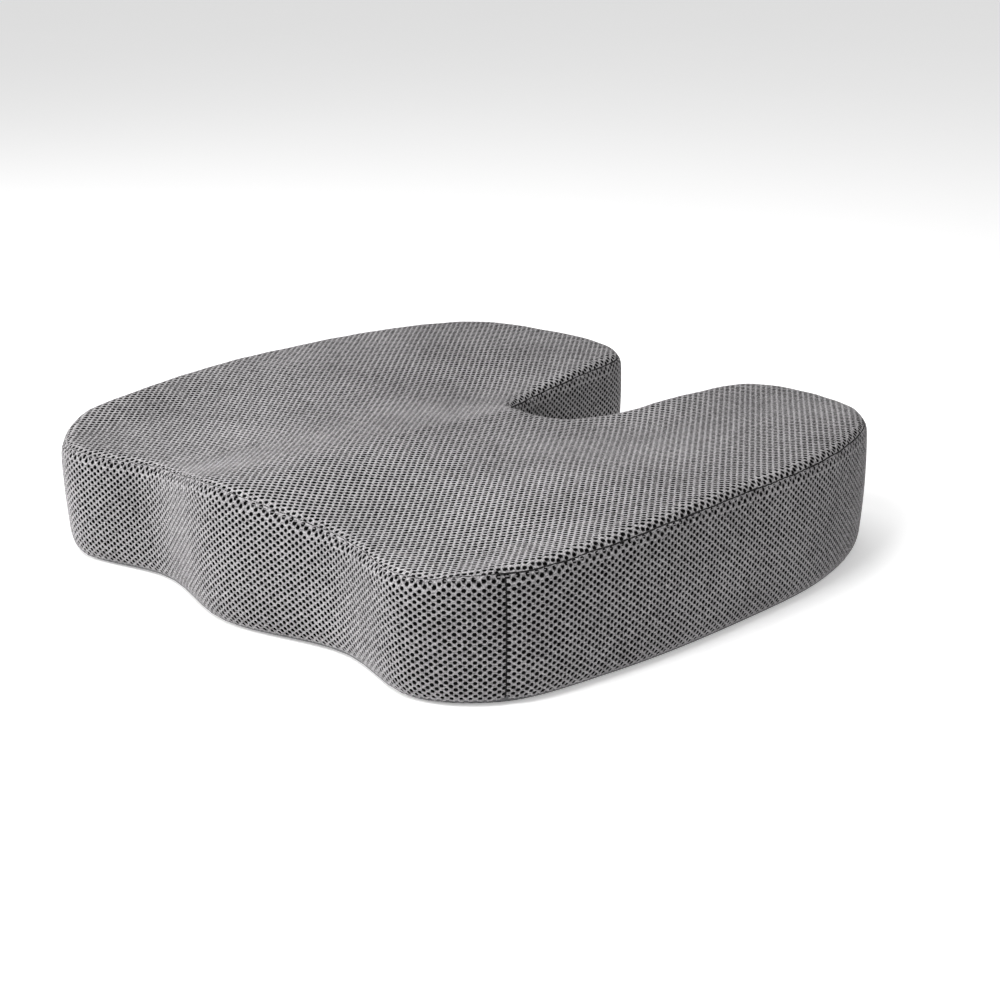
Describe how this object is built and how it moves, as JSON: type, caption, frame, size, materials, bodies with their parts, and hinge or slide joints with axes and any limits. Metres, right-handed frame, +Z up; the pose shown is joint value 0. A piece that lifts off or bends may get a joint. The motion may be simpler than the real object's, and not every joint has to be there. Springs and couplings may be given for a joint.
{
  "type": "contoured seat cushion",
  "caption": "Contoured foam seat cushion with thigh grooves and a tailbone cut-out, in a grey spacer-mesh cover that zips open underneath.",
  "frame": {"origin": "centre of the bounding box at the underside that rests on a chair", "axes": "+Z up, front edge with the thigh grooves towards -Y, cut-out open towards +Y, +X along the width"},
  "size_m": [0.45, 0.4226, 0.09],
  "materials": {
    "mesh_fabric": "light warm-grey spacer mesh with dark round holes",
    "base_fabric": "near-black knit with rubber grip dots",
    "liner_fabric": "off-white inner cover knit",
    "foam": "moulded memory foam, open cell",
    "binding": "dark grey seam binding tape",
    "zip_tape": "woven black zip tape",
    "zip_coil": "black nylon coil",
    "zip_metal": "gunmetal zip hardware",
    "label": "blank satin care label"
  },
  "bodies": {
    "cushion": {"foam_core": "foam", "liner_upper": "liner_fabric", "liner_base": "liner_fabric", "cover_top_panel": "mesh_fabric", "cover_front_band": "mesh_fabric", "cover_rear_band": "mesh_fabric", "cover_base_front": "base_fabric", "cover_base_rear": "base_fabric", "zip_end_tab_left": "base_fabric", "zip_end_tab_right": "base_fabric", "top_seam_binding": "binding", "base_seam_binding": "binding", "corner_seam_binding_left": "binding", "corner_seam_binding_right": "binding", "zip_tape_front": "zip_tape", "zip_tape_rear": "zip_tape", "zip_chain_front": "zip_coil", "zip_chain_rear": "zip_coil", "zip_bottom_stop": "zip_metal", "zip_top_stop_front": "zip_metal", "zip_top_stop_rear": "zip_metal", "care_label": "label"},
    "slider": {"zip_slider": "zip_metal"},
    "pull": {"zip_pull": "zip_metal"}
  },
  "joints": [
    {"name": "zip_slide", "type": "slide", "parent": "cushion", "child": "slider", "axis": [1, 0, 0], "range_m": [-0.318, 0], "deforming": ["zip_chain_front", "zip_chain_rear"]},
    {"name": "pull_hinge", "type": "hinge", "parent": "slider", "child": "pull", "pos_m": [0.16, -0.062, 0.00285], "axis": [0, -1, 0], "range_deg": [0, 150]}
  ]
}
